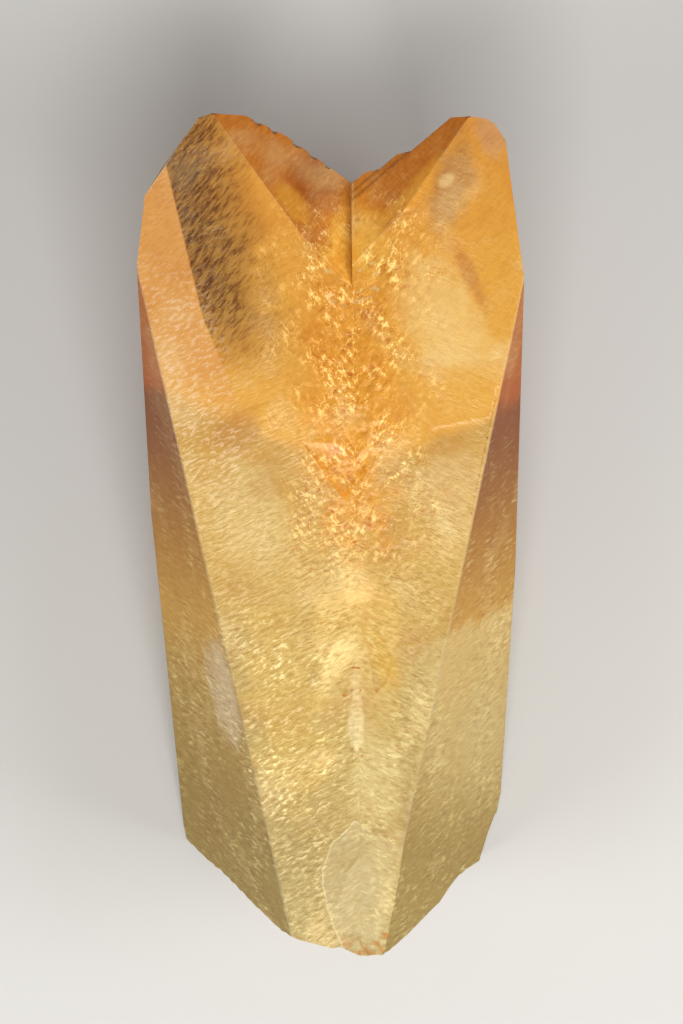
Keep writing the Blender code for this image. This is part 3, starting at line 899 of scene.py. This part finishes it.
# %% [markdown]
# Light that goes through the crystal is coloured by its path, more on a longer one, so the thick
# middle looks deeper than the tips. A volume that only absorbs does that, with nothing to scatter
# and so hardly any noise in the render.

# %% Calcite: colour taken up inside
ABSORPTION_COLOUR = srgb(250, 205, 130)
ABSORPTION_DENSITY = 14.0
absorption = node(tree, "VolumeAbsorption")
absorption.inputs["Color"].default_value = ABSORPTION_COLOUR
absorption.inputs["Density"].default_value = ABSORPTION_DENSITY
tree.links.new(absorption.outputs[0], tree.nodes["Material Output"].inputs["Volume"])
print("absorption density", absorption.inputs["Density"].default_value, "per metre")

# %% [markdown]
# The crystal lies on a plain pale floor, which is part of the stage and not of the object. It is a
# hair lower than the crystal's back, so that the two surfaces don't fight for the same place.

# %% Floor
FLOOR_HALF = 4.0
FLOOR_GAP = 0.4 * MM
FLOOR_ROUGHNESS = 0.8
floor_shape = bmesh.new()
bmesh.ops.create_grid(floor_shape, x_segments=1, y_segments=1, size=FLOOR_HALF)
bmesh.ops.translate(floor_shape, vec=(0.0, 0.0, -FLOOR_GAP), verts=floor_shape.verts[:])
floor_mesh = bpy.data.meshes.new("floor")
floor_shape.to_mesh(floor_mesh)
floor_shape.free()
floor = bpy.data.objects.new("floor", floor_mesh)
bpy.context.scene.collection.objects.link(floor)
pale, pale_tree, pale_shader = make_material("pale_floor")
pale_shader.inputs["Base Color"].default_value = srgb(190, 188, 184)
pale_shader.inputs["Roughness"].default_value = FLOOR_ROUGHNESS
floor_mesh.materials.append(pale)
print("floor", 2 * FLOOR_HALF, "m wide")

# %% [markdown]
# Broad soft panels on the left, on the right and high up give the front an even light. All three
# stand toward the broken end, because a panel on the notch's side would be mirrored in its faces
# and wash out their red. A weak, nearly white room fills the shadows.

# %% Light
LIGHTS = [
    # name, place, size, power
    ("left_panel", (-0.56, -0.30, 0.46), (0.40, 0.50), 3.4),
    ("right_panel", (0.58, -0.20, 0.48), (0.40, 0.50), 4.4),
    ("high_panel", (0.06, -0.40, 0.82), (0.50, 0.40), 5.4),
]
ROOM_COLOUR = srgb(240, 240, 240)
ROOM_STRENGTH = 0.22
for name, spot, size, power in LIGHTS:
    panel = bpy.data.lights.new(name, "AREA")
    panel.shape = "RECTANGLE"
    panel.size, panel.size_y = size
    panel.energy = power
    lamp = bpy.data.objects.new(name, panel)
    lamp.location = spot
    lamp.rotation_euler = (-Vector(spot)).to_track_quat("-Z", "Y").to_euler()
    bpy.context.scene.collection.objects.link(lamp)
world = bpy.data.worlds.new("soft_room")
world.use_nodes = True
background = world.node_tree.nodes["Background"]
background.inputs["Color"].default_value = ROOM_COLOUR
background.inputs["Strength"].default_value = ROOM_STRENGTH
bpy.context.scene.world = world
print("panels:", len(LIGHTS))

# %% [markdown]
# The camera looks straight down on the front, with the notch at the top. It stands far off with a
# long lens, so that there is hardly any perspective. Light in clear stone bounces many times, and
# after a few bounces it adds little but render time, so their number is limited.

# %% Camera
CAMERA_AWAY = 2.5
FRAME_HEIGHT = 182.0 * MM
SENSOR = 36.0
ROLL = math.radians(-0.7)
VIEW_CENTRE = ORIGIN + Vector((-2.58, -58.6, 0.0)) * MM
NEAR_LIMIT = 0.1
FAR_LIMIT = 20.0
lens = bpy.data.cameras.new("camera")
lens.sensor_width = SENSOR
lens.lens = SENSOR * CAMERA_AWAY / FRAME_HEIGHT
lens.clip_start = NEAR_LIMIT
lens.clip_end = FAR_LIMIT
camera = bpy.data.objects.new("camera", lens)
camera.location = VIEW_CENTRE + Vector((0.0, 0.0, CAMERA_AWAY))
camera.rotation_euler = Euler((0.0, 0.0, ROLL))
scene = bpy.context.scene
scene.collection.objects.link(camera)
scene.camera = camera
scene.view_settings.view_transform = "Standard"
scene.cycles.max_bounces = 5
scene.cycles.transmission_bounces = 5
scene.cycles.diffuse_bounces = 3
print("lens", round(lens.lens), "mm at", CAMERA_AWAY, "m")
